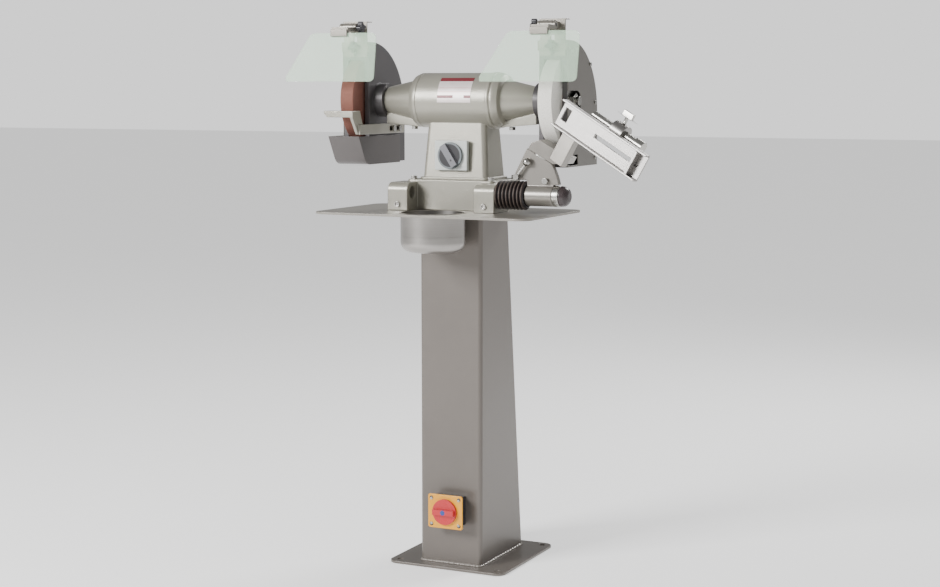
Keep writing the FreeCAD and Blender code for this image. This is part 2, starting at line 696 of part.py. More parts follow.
blotters, flanges, nuts = [], [], []
for side in ("left", "right"):
    node(washer(f"wheel_{side}", "wheel_rad", "wheel_bore", side, wheel_in, wheel_out))
    inner = f"{wheel_in} - blotter_thick"
    outer = f"{wheel_out} + blotter_thick"
    blotters += [washer(f"blotter_in_{side}", "blotter_rad", "wheel_bore", side, inner, wheel_in),
                 washer(f"blotter_out_{side}", "blotter_rad", "wheel_bore", side, wheel_out, outer)]
    flanges += [washer(f"flange_in_{side}", "flange_rad", "wheel_bore", side,
                       f"{inner} - flange_thick", inner),
                washer(f"flange_out_{side}", "flange_rad", "wheel_bore", side, outer,
                       f"{outer} + flange_thick")]
    nut_span = across(side, f"{outer} + flange_thick", "guard_outer - 0.8")
    nut = hexagon(f"nut_body_{side}", "nut_across", "X", nut_span, at_axis)
    nut_bore = rod(f"nut_bore_{side}", "wheel_bore", "X", (f"{nut_span[0]} - 1", f"{nut_span[1]} + 1"),
                   at_axis)
    nuts.append(cut(f"wheel_nut_{side}", nut, nut_bore))
node(group("blotters", *blotters))
node(group("wheel_flanges", *flanges))
node(group("wheel_nuts", *nuts))

# === Wheel guards ==========================================================================


def guard_form(name, inset, span):
    """The guard's D: flat front and bottom, one big arc from the top to the back."""
    return extruded(name, "YZ",
                    [(f"-guard_front + {inset}", f"guard_low + {inset}"),
                     (f"guard_back - {inset}", f"guard_low + {inset}"),
                     (f"guard_back - {inset}", f"guard_top - {inset}"),
                     (f"-guard_front + {inset}", f"guard_top - {inset}")],
                    span, [((2,), f"guard_round - {inset}")])


cover_screws = []
for side in ("left", "right"):
    wide = across(side, "guard_inner", "guard_outer")
    room_span = across(side, "guard_inner + guard_wall", "guard_outer + 5")
    mouth = across(side, "guard_inner + guard_lip", "guard_outer - guard_lip")
    case = guard_form(f"guard_case_{side}", "0", wide)
    room = guard_form(f"guard_room_{side}", "guard_wall", room_span)
    opening = block(f"guard_mouth_{side}", mouth, ("-guard_front - 5", "-guard_front + 8"),
                    ("guard_mouth_low", "guard_mouth_top"))
    collar = rod(f"guard_collar_{side}", "collar_rad", "X",
                 across(side, "bell_nose", "guard_inner + 1"), at_axis)
    passage = rod(f"guard_passage_{side}", "shaft_rad + 4", "X",
                  across(side, "bell_nose - 1", "guard_inner + 6"), at_axis)
    tools = [room, opening, passage]
    if side == "left":
        tools.append(block("guard_drop_left", mouth, ("-guard_front - 5", "-guard_front + 8"),
                           ("guard_low + guard_wall", "guard_mouth_low + 1")))
    node(cut(f"guard_{side}", fuse(f"guard_solid_{side}", case, collar), *tools))

    lid_span = across(side, "guard_outer", "guard_outer + cover_thick")
    lid = guard_form(f"cover_blank_{side}", "0", lid_span)
    notch_span = across(side, "guard_outer - 1", "guard_outer + cover_thick + 1")
    notches = [rod(f"cover_eye_{side}", "nut_across / 2 + 6", "X", notch_span, at_axis)]
    if side == "right":
        notches.append(block("cover_window", notch_span, ("-guard_front - 1", "-axis_away"),
                             ("axis_up - 14", "axis_up + 22")))
        notches.append(block("cover_drop", notch_span, ("-guard_front - 1", "-guard_front + 58"),
                             ("guard_low + 4", "guard_low + 26")))
    node(cut(f"guard_cover_{side}", lid, *notches))
    spots = [("guard_back - 14", "axis_up - 4"), ("guard_back - 45", "axis_up + 78"),
             ("-guard_front + 14", "guard_top - 22"), ("guard_back - 14", "guard_low + 16"),
             ("-guard_front + 14", "guard_low + 40")]
    head_span = across(side, "guard_outer + cover_thick", "guard_outer + cover_thick + 2.5")
    cover_screws += [rod(f"cover_screw_{side}_{i}", "cover_screw_rad + 1.5", "X", head_span, spot)
                     for i, spot in enumerate(spots)]
node(group("cover_screws", *cover_screws))

# Spark scoop in front of and round the left guard's foot.
scoop_span = ("-guard_outer - cover_thick - scoop_grow", "-guard_inner + scoop_grow")
scoop_room = (f"{scoop_span[0]} + scoop_wall", f"{scoop_span[1]} - scoop_wall")
scoop_low = "guard_low - scoop_wall - seat"


def scoop_form(name, inset, span, top, end):
    slope = "(scoop_front - guard_front) * 0.6"
    return extruded(name, "YZ",
                    [(f"-scoop_front + {inset} + {slope}", f"{scoop_low} + {inset}"),
                     (end, f"{scoop_low} + {inset}"), (end, top), (f"-scoop_front + {inset}", top)],
                    span, [((0,), f"scoop_round - {inset}")])


scoop_end = "guard_back - scoop_short"
scoop = cut("spark_scoop", scoop_form("scoop_outside", "0", scoop_span, "scoop_top", scoop_end),
            scoop_form("scoop_inside", "scoop_wall", scoop_room, "scoop_top + 5", f"{scoop_end} + 5"))
node(scoop)

# === Eye shields, each on a sliding upright with a hinge ===================================

for side in ("left", "right"):
    sign = "1" if side == "right" else "-1"
    mid = f"{sign} * wheel_mid"
    front = "-guard_front"
    back_of_slide = f"{front} - seat"
    slide_front = f"{back_of_slide} - slide_thick"
    stud_up = "(strap_low + strap_top) / 2"

    # The strap is a channel that holds the upright against the guard's strips.
    strap_block = block(f"strap_block_{side}", across(side, "guard_inner - 1", "guard_outer + 1"),
                        (f"{front} - strap_thick", front), ("strap_low", "strap_top"))
    strap_way = block(f"strap_way_{side}", (f"{mid} - slide_half - seat", f"{mid} + slide_half + seat"),
                      (f"{slide_front} - seat", f"{front} + 1"), ("strap_low - 1", "strap_top + 1"))

    upright = block(f"slide_plate_{side}", (f"{mid} - slide_half", f"{mid} + slide_half"),
                    (slide_front, back_of_slide), ("slide_low", "slide_top"))
    flange = block(f"slide_flange_{side}", (f"{mid} - slide_half - 2", f"{mid} + slide_half + 2"),
                   (slide_front, "-guard_front + slide_flange"), ("slide_top - 0.5", "slide_top + 1.7"))
    slot = block(f"slide_slot_{side}", (f"{mid} - slot_half", f"{mid} + slot_half"),
                 (f"{slide_front} - 1", f"{back_of_slide} + 1"), ("slide_low - 1", "strap_top + 12"))
    lug = block(f"lug_block_{side}", (f"{mid} - hinge_half", f"{mid} + hinge_half"),
                ("-hinge_away", slide_front), ("hinge_up - hinge_rad", "hinge_up + hinge_rad - 2"))
    lug_nose = rod(f"lug_nose_{side}", "hinge_rad", "X", (f"{mid} - hinge_half", f"{mid} + hinge_half"),
                   ("-hinge_away", "hinge_up"))
    pin_hole = rod(f"lug_hole_{side}", "hinge_pin_rad + running", "X",
                   (f"{mid} - hinge_half - 1", f"{mid} + hinge_half + 1"), ("-hinge_away", "hinge_up"))
    node(cut(f"shield_slide_{side}", fuse(f"slide_solid_{side}", upright, flange, lug, lug_nose),
             slot, pin_hole))

    # The stud stands on the guard, passes the slot and carries the star knob.
    stud = rod(f"clamp_stud_{side}", "stud_rad", "Y",
               (f"{front} - strap_thick - knob_thick + 4", front), (mid, stud_up))
    node(fuse(f"height_clamp_{side}", cut(f"strap_{side}", strap_block, strap_way), stud))

    def star(name, axis, start, end, at):
        """A four-lobed knob: a hub and lobes on a cross."""
        centre = along_axis(axis, start, at)
        hub = rod(f"{name}_hub", "knob_rad * 0.55", axis, (start, end), at)
        lobes = []
        for i in range(4):
            a = f"knob_rad * 0.66 * cos({i * 90 + 10})"
            b = f"knob_rad * 0.66 * sin({i * 90 + 10})"
            spot = (f"({at[0]}) + {a}", f"({at[1]}) + {b}")
            lobes.append(rod(f"{name}_lobe_{i}", "knob_rad * 0.34", axis, (start, end), spot))
        return fuse(f"{name}_star", hub, *lobes)

    knob_span = (f"{front} - strap_thick - knob_thick", f"{front} - strap_thick")
    stud_room = rod(f"height_knob_room_{side}", "stud_rad + running", "Y",
                    (f"{knob_span[0]} + 3", f"{knob_span[1]} + 1"), (mid, stud_up))
    node(cut(f"height_knob_{side}", star(f"height_{side}", "Y", *knob_span, (mid, stud_up)),
             stud_room))

    # The fork straddles the lug and clamps the shield's upper edge.
    reach = "(hinge_half + seat + 6)"
    shield_back = "-shield_away + shield_thick"
    cheeks = []
    for name, low, high in (("a", f"{mid} - {reach}", f"{mid} - hinge_half - seat"),
                            ("b", f"{mid} + hinge_half + seat", f"{mid} + {reach}")):
        eye = rod(f"fork_eye_{side}_{name}", "hinge_rad", "X", (low, high), ("-hinge_away", "hinge_up"))
        arm = block(f"fork_arm_{side}_{name}", (low, high), (shield_back, "-hinge_away"),
                    ("hinge_up - hinge_rad", "hinge_up"))
        cheeks += [eye, arm]
    bridge = block(f"fork_bridge_{side}", (f"{mid} - {reach}", f"{mid} + {reach}"),
                   (shield_back, f"{shield_back} + 7"), ("shield_grip", "hinge_up"))
    fork_bore = rod(f"fork_bore_{side}", "hinge_pin_rad + running", "X",
                    (f"{mid} - {reach} - 1", f"{mid} + {reach} + 1"), ("-hinge_away", "hinge_up"))
    grip = block(f"grip_{side}", (f"{mid} - {reach}", f"{mid} + {reach}"),
                 ("-shield_away - 2.5", "-shield_away"), ("shield_grip + 2", "shield_top + 8"))
    node(group(f"shield_fork_{side}",
               cut(f"fork_{side}", fuse(f"fork_solid_{side}", bridge, *cheeks), fork_bore), grip))

    pin_start = f"{mid} - {reach} - 3" if side == "right" else f"{mid} - {reach}"
    pin_end = f"{mid} + {reach}" if side == "right" else f"{mid} + {reach} + 3"
    pin = rod(f"hinge_pin_{side}", "hinge_pin_rad", "X", (pin_start, pin_end),
              ("-hinge_away", "hinge_up"))
    knob_span = ((f"{pin_start} - knob_thick", pin_start) if side == "right"
                 else (pin_end, f"{pin_end} + knob_thick"))
    node(fuse(f"tilt_knob_{side}", pin, star(f"tilt_{side}", "X", *knob_span,
                                             ("-hinge_away", "hinge_up"))))

    left = f"{mid} - shield_left"
    right = f"{mid} + shield_right"
    node(extruded(f"shield_{side}", "XZ",
                  [(left, "shield_low"), (f"{right} - 8", "shield_low"), (right, "shield_top"),
                   (f"{left} + shield_cut", "shield_top"), (left, "shield_top - shield_shoulder")],
                  ("-shield_away", shield_back),
                  [((1, 2), "shield_round"), ((3,), "shield_round * 2"), ((0, 4), "shield_round / 4")]))

# === Tool rest at the left wheel ===========================================================

wheel_front = "-axis_away - wheel_rad"
table_back = f"{wheel_front} - rest_gap"
table = extruded("rest_table", "XZ",
                 [("-rest_left + 8", "rest_top - rest_thick"), ("-rest_right", "rest_top - rest_thick"),
                  ("-rest_right", "rest_top"), ("-rest_left", "rest_top"),
                  ("-rest_left", "rest_top - 5")],
                 (f"{table_back} - rest_deep", table_back))
arm_top = "rest_arm_low + rest_arm_high"
cheek = extruded("rest_cheek", "YZ",
                 [(f"{table_back} - rest_deep", "rest_top"), (table_back, "rest_top"),
                  (f"{table_back} + 12", arm_top), (f"{table_back} + 12", "rest_arm_low"),
                  (f"{table_back} - 8", "rest_arm_low"),
                  (f"{table_back} - rest_deep", "rest_top - rest_thick")],
                 ("-rest_right", "-rest_right + rest_arm_thick"))
arm_near = "-guard_inner + seat"
arm = block("rest_arm", (arm_near, f"{arm_near} + rest_arm_thick"),
            (f"{table_back} - 8", "rest_arm_back"), ("rest_arm_low", arm_top))
arm_join = block("rest_arm_join", ("-rest_right", f"{arm_near} + rest_arm_thick"),
                 (f"{table_back} - 8", f"{table_back} + 12"), ("rest_arm_low", arm_top))
rest_slot = block("rest_slot", (f"{arm_near} - 1", f"{arm_near} + rest_arm_thick + 1"),
                  ("-20", "rest_arm_back - 12"), ("rest_arm_low + 6.5", f"{arm_top} - 6.5"))
node(cut("tool_rest", fuse("rest_solid", table, cheek, arm, arm_join), rest_slot))
rest_bolts = []
for i, along in enumerate(("-5", "22")):
    spot = (along, "rest_arm_low + rest_arm_high / 2")
    shank = rod(f"rest_shank_{i}", "4", "X", ("-guard_inner", f"{arm_near} + rest_arm_thick"), spot)
    head = hexagon(f"rest_head_{i}", "13", "X", (f"{arm_near} + rest_arm_thick",
                                                f"{arm_near} + rest_arm_thick + 6"), spot)
    rest_bolts.append(fuse(f"rest_bolt_{i}", shank, head))

# === Switches and nameplate ================================================================

switch_face = "-neck_front - switch_deep"
switch_box = extruded("switch_box", "XZ",
                      [("switch_side - switch_wide / 2", "switch_up - switch_high / 2"),
                       ("switch_side + switch_wide / 2", "switch_up - switch_high / 2"),
                       ("switch_side + switch_wide / 2", "switch_up + switch_high / 2"),
                       ("switch_side - switch_wide / 2", "switch_up + switch_high / 2")],
                      (switch_face, "-neck_front"), [(range(4), "2")])
neck_draw = "(neck_low_half - neck_top_half) / neck_high"
pad_depth = f"{neck_draw} * (switch_up + switch_high / 2 - ({box_top}))"
switch_pad = block("switch_pad", ("switch_side - switch_wide / 2 + 4", "switch_side + switch_wide / 2 - 4"),
                   ("-neck_front - 1", f"-neck_front + {pad_depth} + 0.5"),
                   ("switch_up - switch_high / 2 + 4", "switch_up + switch_high / 2 - 4"))
node(cut("motor_switch", fuse("switch_solid", switch_box, switch_pad), neck), "motor_switch")
dial = rod("dial_disc", "dial_rad", "Y", (f"{switch_face} - dial_deep * 0.45", switch_face),
           ("switch_side", "switch_up"))
dial_bar = block("dial_bar", ("-dial_rad + 2", "dial_rad - 2"), ("-dial_deep", "-dial_deep * 0.4"),
                 ("-7.5", "7.5"))
place(dial_bar, ("switch_side - (dial_rad - 2) * cos(57) - 7.5 * sin(57)", f"{switch_face} - dial_deep",
                 "switch_up + (dial_rad - 2) * sin(57) - 7.5 * cos(57)"), (("Y", "57"),))
node(fuse("switch_dial", dial, dial_bar))

main_back = "-column_front"
main_box = block("main_switch_box", ("main_side - main_wide / 2 + 8", "main_side + main_wide / 2 - 8"),
                 (f"{main_back} - main_box_deep", main_back),
                 ("main_up - main_high / 2 + 6", "main_up + main_high / 2 - 6"))
node(main_box)
main_face = f"{main_back} - main_box_deep - main_plate"
main_plate = extruded("main_plate_blank", "XZ",
                      [("main_side - main_wide / 2", "main_up - main_high / 2"),
                       ("main_side + main_wide / 2", "main_up - main_high / 2"),
                       ("main_side + main_wide / 2", "main_up + main_high / 2"),
                       ("main_side - main_wide / 2", "main_up + main_high / 2")],
                      (main_face, f"{main_face} + main_plate"), [(range(4), "5")])
node(main_plate, "main_switch_plate")
main_screws = [rod(f"main_screw_{i}_{j}", "3.2", "Y", (f"{main_face} - 1.6", main_face),
                   (f"main_side + {i} * (main_wide / 2 - 9)", f"main_up + {j} * (main_high / 2 - 10)"))
               for i in (-1, 1) for j in (-1, 1)]
node(group("fixing_bolts", *boss_screws, *base_bolts, *rest_bolts, *main_screws))
main_disc = rod("main_dial_disc", "main_dial_rad", "Y", (f"{main_face} - 6", main_face),
                ("main_side", "main_up"))
main_grip = block("main_dial_grip", ("main_side - main_dial_rad + 3", "main_side + main_dial_rad - 3"),
                  (f"{main_face} - main_dial_deep", f"{main_face} - 5"), ("main_up - 6", "main_up + 6"))
node(fuse("main_switch_dial", main_disc, main_grip))

label_out = rod("label_out", "barrel_rad + label_thick", "X", ("label_left", "label_right"), at_axis)
label_out.setExpression("Angle", bound("label_span"))
place(label_out, ("label_left", "-axis_away", "axis_up"),
      (("X", "180 - label_from - label_span"), ("Y", "90"), ("Z", "90")))
label_in = rod("label_in", "barrel_rad + running", "X", ("label_left - 1", "label_right + 1"), at_axis)
node(cut("nameplate", label_out, label_in))

# === Drill-sharpening attachment ===========================================================

bar_line = ("-bar_away", bar_up_z)
collar_end = "sleeve_end + seat + collar_long"
node(rod("pivot_bar", "bar_rad", "X", ("boss_inner", f"{collar_end}"), bar_line))
node(cut("bar_collar",
         rod("collar_disc", "sleeve_rad + 0.5", "X", ("sleeve_end + seat", collar_end), bar_line),
         rod("collar_hole", "bar_rad", "X", ("sleeve_end", f"{collar_end} + 1"), bar_line)))
node(turned("bar_cap",
            [(collar_end, "0"), (f"{collar_end} + bar_cap_long", "0"),
             (f"{collar_end} + bar_cap_long", "bar_cap_rad - 12"),
             (f"{collar_end} + bar_cap_long - 3", "bar_cap_rad - 6"),
             (f"{collar_end} + bar_cap_long - 8", "bar_cap_rad - 1.5"),
             (f"{collar_end} + 3", "bar_cap_rad"), (collar_end, "bar_cap_rad")], "X", bar_line))

# Bellows: a pleated sleeve between the boss and the swing sleeve.
pitch = "(sleeve_start - seat - boss_outer - seat) / (2 * bellows_rings)"
start = "boss_outer + seat"
rings = int(value("bellows_rings"))
crests = [(f"{start} + {i} * {pitch}", "bellows_root" if i % 2 == 0 else "bellows_rad")
          for i in range(2 * rings + 1)]
bellows_end = "sleeve_start - seat"
node(turned("bellows", [(start, "bar_rad + seat * 2")] + crests + [(bellows_end, "bar_rad + seat * 2")],
            "X", bar_line))

# Swing arm: the sleeve on the bar with its quadrant, cut off flat at the tilt.
sleeve = rod("arm_sleeve", "sleeve_rad", "X", ("sleeve_start", "sleeve_end"), bar_line)
arm_faces = ("-bar_away - sector_thick / 2", "-bar_away + sector_thick / 2")
seat_z = f"{bar_up_z} + seat_up"
sector = rod("arm_sector", "sector_rad", "Y", arm_faces,
             ("sleeve_start - sector_centre", bar_up_z))
fan = extruded("arm_fan", "XZ",
               [("sleeve_start", bar_up_z), ("sleeve_start + 90", bar_up_z),
                ("sleeve_start + 90", f"{bar_up_z} + 110"), ("sleeve_start + 5", f"{bar_up_z} + 110"),
                ("sleeve_start - 28", f"{bar_up_z} + 46"),
                ("sleeve_start - 28", f"{bar_up_z} + bellows_rad + 2"),
                ("sleeve_start", f"{bar_up_z} + bellows_rad + 2")], arm_faces)
quadrant = doc.addObject("Part::Common", "arm_quadrant")
quadrant.Base, quadrant.Tool = sector, fan
arm_trim = block("arm_trim_top", ("-150", "150"), ("-60", "60"), ("0", "150"))
place(arm_trim, ("seat_side - 150 * cos(tilt)", "-bar_away - 60", f"{seat_z} + 150 * sin(tilt)"),
      (("Y", "tilt"),))
collar_room = block("arm_collar_room", ("sleeve_end", "sleeve_end + 90"),
                    ("-bar_away - 60", "-bar_away + 60"),
                    (f"{bar_up_z} - 60", f"{bar_up_z} + sleeve_rad + 2"))
arm_bore = rod("arm_bore", "bar_rad + running", "X", ("sleeve_start - 5", "sleeve_end + 5"), bar_line)
node(cut("swing_arm", fuse("arm_solid", sleeve, quadrant), arm_trim, collar_room, arm_bore))
sector_bolt = hexagon("sector_bolt", "13", "Y",
                      ("-bar_away - sector_thick / 2 - 8", "-bar_away - sector_thick / 2"),
                      ("sleeve_start + 44", f"{bar_up_z} + sleeve_rad + 10"))

# Ball lever that clamps the swing arm.
hub_spot = ("sleeve_start - 20", f"{bar_up_z} + 40")
hub = rod("lever_hub", "6.5", "Y", ("-bar_away - sector_thick / 2 - 14", "-bar_away - sector_thick / 2"),
          hub_spot)
stem = rod("lever_stem_blank", "3.2", "Z", ("0", "34"), ("0", "0"))
place(stem, (hub_spot[0], "-bar_away - sector_thick / 2 - 9", hub_spot[1]), (("Y", "38"),))
grip_ball = ball("lever_ball", "9", (f"({hub_spot[0]}) + 40 * sin(38)",
                                     "-bar_away - sector_thick / 2 - 9",
                                     f"{hub_spot[1]} + 40 * cos(38)"))
node(fuse("ball_lever", hub, stem, grip_ball))


def on_seat(piece):
    """Stands a piece made about the origin on the quadrant's flat."""
    return place(piece, ("seat_side", "-bar_away", seat_z), (("Y", "tilt"),))


pivot_washer = on_seat(rod("pivot_washer", "sector_thick / 2 + 11", "Z", ("0", "carrier_gap"),
                           ("0", "0")))
node(group("arm_fixings", sector_bolt, pivot_washer))
carrier_block = extruded("carrier_block", "XZ",
                         [("-26", "carrier_gap + seat"), ("carrier_long - 52", "carrier_gap + seat"),
                          ("carrier_long - 26", "carrier_gap + carrier_high * 0.5"),
                          ("carrier_long - 26", "carrier_gap + carrier_high"),
                          ("-12", "carrier_gap + carrier_high"), ("-26", "carrier_gap + carrier_high / 2")],
                         ("-carrier_deep / 2", "carrier_deep / 2"))
def on_trough(piece):
    """Places a piece made about the trough's wheel end: +X along it, +Z across it, -Y open."""
    return place(piece, ("trough_side", "-trough_away", "trough_up"), (("Y", "tilt"), ("Z", "-yaw")))


# An upright bracket carries the trough from behind.
bracket = on_trough(group("carrier_bracket", block("bracket_block", ("bracket_near", "bracket_far"),
                                                   ("trough_wall", "trough_wall + bracket_thick"),
                                                   ("-trough_half - 66", "trough_half - 12"))))
node(fuse("swivel_carrier", on_seat(carrier_block), bracket))

trough_box = block("trough_box", ("0", "trough_long"), ("-trough_lip", "trough_wall"),
                   ("-trough_half", "trough_half"))
trough_way = block("trough_way", ("-1", "trough_long + 1"), ("-trough_lip - 1", "0"),
                   ("-trough_half + trough_wall", "trough_half - trough_wall"))
trough_nick = block("trough_nick", ("8", "24"), ("-trough_lip - 1", "trough_wall + 1"), ("-12", "16"))
trough_slot = block("trough_slot", ("trough_long - stop_from_end - 110", "trough_long - stop_from_end + 12"),
                    ("-1", "trough_wall + 1"), ("-4", "4"))
node(on_trough(cut("drill_trough", trough_box, trough_way, trough_nick, trough_slot)))

stop_span = ("trough_long - stop_from_end", "trough_long - stop_from_end + stop_thick")
stop_plate = block("stop_plate", stop_span, ("-trough_lip - 2", "-seat"),
                   ("-trough_half + trough_wall + seat", "trough_half - trough_wall - seat"))
stop_tongue = block("stop_tongue", stop_span, ("-seat - 1", "trough_wall + seat + 1"), ("-3.7", "3.7"))
stop_nut = block("stop_nut", (f"{stop_span[0]} - 6", f"{stop_span[1]} + 6"),
                 ("trough_wall + seat", "trough_wall + seat + 5"), ("-10", "10"))
node(on_trough(fuse("end_stop", stop_plate, stop_tongue, stop_nut)))

ring_at = ("trough_wall + ring_rad + seat", "ring_up")
node(on_trough(group("feed_spindle", rod("spindle_rod", "spindle_rad", "X",
                                         ("spindle_start", "spindle_end"), ring_at))))
node(on_trough(group("feed_knob", rod("feed_knob_rod", "feed_knob_rad", "X",
                                      ("spindle_end", "spindle_end + feed_knob_long"), ring_at))))
node(on_trough(cut("clamp_ring", rod("ring_disc", "ring_rad", "X", ("ring_start", "ring_end"), ring_at),
                   rod("ring_hole", "spindle_rad + running", "X", ("ring_start - 1", "ring_end + 1"),
                       ring_at))))
ring_mid = "(ring_start + ring_end) / 2"
wing_at = (ring_mid, ring_at[0])
wing_stem = rod("wing_stem", "4", "Z", ("ring_up + ring_rad + seat", "ring_up + ring_rad + 16"), wing_at)
wing_bar = block("wing_bar", (f"{ring_mid} - 13", f"{ring_mid} + 13"),
                 (f"{ring_at[0]} - 4", f"{ring_at[0]} + 4"),
                 ("ring_up + ring_rad + 14", "ring_up + ring_rad + 26"))
node(on_trough(fuse("wing_screw", wing_stem, wing_bar)))

# === Check and write =======================================================================

doc.recompute()
faults = [item.Name for item in doc.Objects if set(item.State) & {"Invalid", "Error"}]
faults += [item.Label for item in nodes if item.Shape.isNull() or not item.Shape.isValid()]
if faults:
    raise RuntimeError(f"these objects failed: {faults}")
os.makedirs("parts", exist_ok=True)
for item in nodes:
    item.Shape.exportStep(os.path.join("parts", f"{item.Label}.step"))
print(len(nodes), "sub-parts written")
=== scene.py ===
import json
import math

import bmesh
import bpy
import numpy as np
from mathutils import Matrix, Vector


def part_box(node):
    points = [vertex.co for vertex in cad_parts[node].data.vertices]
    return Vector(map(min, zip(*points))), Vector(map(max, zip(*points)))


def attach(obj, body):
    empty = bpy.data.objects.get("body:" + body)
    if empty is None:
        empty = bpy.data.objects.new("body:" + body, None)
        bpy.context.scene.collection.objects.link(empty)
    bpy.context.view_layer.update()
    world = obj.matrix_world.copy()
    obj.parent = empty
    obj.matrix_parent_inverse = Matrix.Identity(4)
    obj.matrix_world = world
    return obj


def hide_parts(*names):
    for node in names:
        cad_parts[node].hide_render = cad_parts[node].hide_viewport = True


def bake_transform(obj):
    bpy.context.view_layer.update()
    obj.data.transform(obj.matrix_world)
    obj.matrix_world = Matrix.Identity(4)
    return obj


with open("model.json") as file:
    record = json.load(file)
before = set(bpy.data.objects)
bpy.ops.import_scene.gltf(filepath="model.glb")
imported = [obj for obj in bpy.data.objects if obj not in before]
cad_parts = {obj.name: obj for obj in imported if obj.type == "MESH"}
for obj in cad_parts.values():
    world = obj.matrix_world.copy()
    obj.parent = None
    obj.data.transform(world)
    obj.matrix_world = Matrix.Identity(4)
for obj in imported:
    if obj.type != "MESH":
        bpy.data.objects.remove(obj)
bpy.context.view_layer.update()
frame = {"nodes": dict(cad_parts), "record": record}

# ---------------------------------------------------------------------------------------
# Camera, to the front right of the grinder and a little above its middle, level and
# looking slightly down, with a long lens.
turn, drop = math.radians(25.55), math.radians(6.74)
eye = bpy.data.objects.new("eye", bpy.data.cameras.new("eye"))
bpy.context.scene.collection.objects.link(eye)
eye.location = (1.72221, -3.61419, 1.07370)
back = Vector((math.sin(turn) * math.cos(drop), -math.cos(turn) * math.cos(drop),
               math.sin(drop)))
eye.rotation_euler = (-back).to_track_quat("-Z", "Y").to_euler()
eye.data.lens, eye.data.sensor_width = 68.64, 36
bpy.context.scene.camera = eye

# ---------------------------------------------------------------------------------------
# Studio: a pale floor without a horizon, a white surround, one broad soft lamp at the
# front left, a weaker one at the right and a strip behind for the edges.


class Signal:
    """A socket in a material's node tree; arithmetic on signals adds Math nodes."""

    def __init__(self, tree, socket):
        self.tree, self.socket = tree, socket

    def node(self, kind, settings, sockets, output=0):
        """Any node: its settings, then the values or signals of its sockets."""
        made = self.tree.nodes.new(kind)
        for name, value in settings.items():
            setattr(made, name, value)
        for name, value in sockets.items():
            socket = made.inputs[name]
            if isinstance(value, Signal):
                self.tree.links.new(value.socket, socket)
            else:
                socket.default_value = value
        return Signal(self.tree, made.outputs[output])

    def maths(self, operation, first, second=0.0):
        """A Math node on two numbers or signals."""
        return self.node("ShaderNodeMath", {"operation": operation}, {0: first, 1: second})

    def __add__(self, other):
        return self.maths("ADD", self, other)

    def __sub__(self, other):
        return self.maths("SUBTRACT", self, other)

    def __mul__(self, other):
        return self.maths("MULTIPLY", self, other)

    def __gt__(self, other):
        return self.maths("GREATER_THAN", self, other)

    def __lt__(self, other):
        return self.maths("LESS_THAN", self, other)

    def __abs__(self):
        return self.maths("ABSOLUTE", self)

    __radd__, __rmul__ = __add__, __mul__

    def mixed(self, low, high):
        """Colour low where this signal is 0 and colour high where it is 1."""
        low, high = [c if isinstance(c, Signal) else (*c, 1.0) for c in (low, high)]
        return self.node("ShaderNodeMix", {"data_type": "RGBA"}, {0: self, 6: low, 7: high}, 2)

    def noise(self, scale, detail=2.0, stretch=(1, 1, 1)):
        """Soft noise from 0 to 1; stretch squeezes the pattern along each axis."""
        place = self
        if stretch != (1, 1, 1):
            place = self.node("ShaderNodeMapping", {}, {"Vector": self, "Scale": stretch})
        return self.node("ShaderNodeTexNoise", {},
                         {"Vector": place, "Scale": scale, "Detail": detail})

    def axes(self):
        """The three parts of a position."""
        parts = self.node("ShaderNodeSeparateXYZ", {}, {"Vector": self})
        return [Signal(self.tree, parts.socket.node.outputs[n]) for n in range(3)]

    def bumped(self, depth):
        """A normal that this signal raises by the depth, in metres."""
        return self.node("ShaderNodeBump", {},
                         {"Height": self, "Distance": depth, "Strength": 1.0})


def finish(name, shade):
    """A material; shade(place) gives the Principled sockets from the position."""
    material = bpy.data.materials.new(name)
    material.use_nodes = True
    tree = material.node_tree
    tree.nodes.clear()
    coordinates = tree.nodes.new("ShaderNodeTexCoord")
    place = Signal(tree, coordinates.outputs["Object"])
    surface = place.node("ShaderNodeBsdfPrincipled", {}, shade(place))
    end = tree.nodes.new("ShaderNodeOutputMaterial")
    tree.links.new(surface.socket, end.inputs["Surface"])
    return material


def skin(name, grid, wrap_rows=False):
    """A mesh over rows of points, each row a closed ring: four neighbours make a face, and
    the last row joins the first where the rows wrap."""
    rows, across = grid.shape[:2]
    index = np.arange(rows * across).reshape(rows, across)
    here, below = (index, np.roll(index, -1, 0)) if wrap_rows else (index[:-1], index[1:])
    quads = np.stack([here, np.roll(here, -1, 1), np.roll(below, -1, 1), below], -1)
    faces = quads.reshape(-1, 4).tolist()
    mesh = bpy.data.meshes.new(name)
    mesh.from_pydata(grid.reshape(-1, 3).tolist(), [], faces)
    work = bmesh.new()
    work.from_mesh(mesh)
    bmesh.ops.remove_doubles(work, verts=work.verts, dist=1e-6)
    bmesh.ops.recalc_face_normals(work, faces=work.faces)
    work.to_mesh(mesh)
    work.free()
    piece = bpy.data.objects.new(name, mesh)
    bpy.context.scene.collection.objects.link(piece)
    return piece


def dress(piece, look, body, sharp=35, stands_for=()):
    """Gives a new piece its material, smooth shading, body, slot and replaced nodes."""
    piece.data.materials.clear()
    piece.data.materials.append(look)
    piece.data.shade_smooth()
    if sharp:
        piece.data.set_sharp_from_angle(angle=math.radians(sharp))
    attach(piece, body)
    if stands_for:
        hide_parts(*stands_for)
    return piece


floor = bpy.data.objects.new("floor", bpy.data.meshes.new("floor"))
bpy.context.scene.collection.objects.link(floor)
floor.data.from_pydata([(-30, -30, -0.0005), (30, -30, -0.0005), (30, 30, -0.0005),
                        (-30, 30, -0.0005)], [], [(0, 1, 2, 3)])
floor.data.materials.append(finish("studio floor", lambda place: {
    "Base Color": place.noise(0.7).mixed((0.90, 0.90, 0.90), (0.94, 0.94, 0.93)),
    "Roughness": place.noise(3.0) * 0.1 + 0.8,
    "Emission Color": (1.0, 1.0, 1.0, 1.0), "Emission Strength": 0.62}))

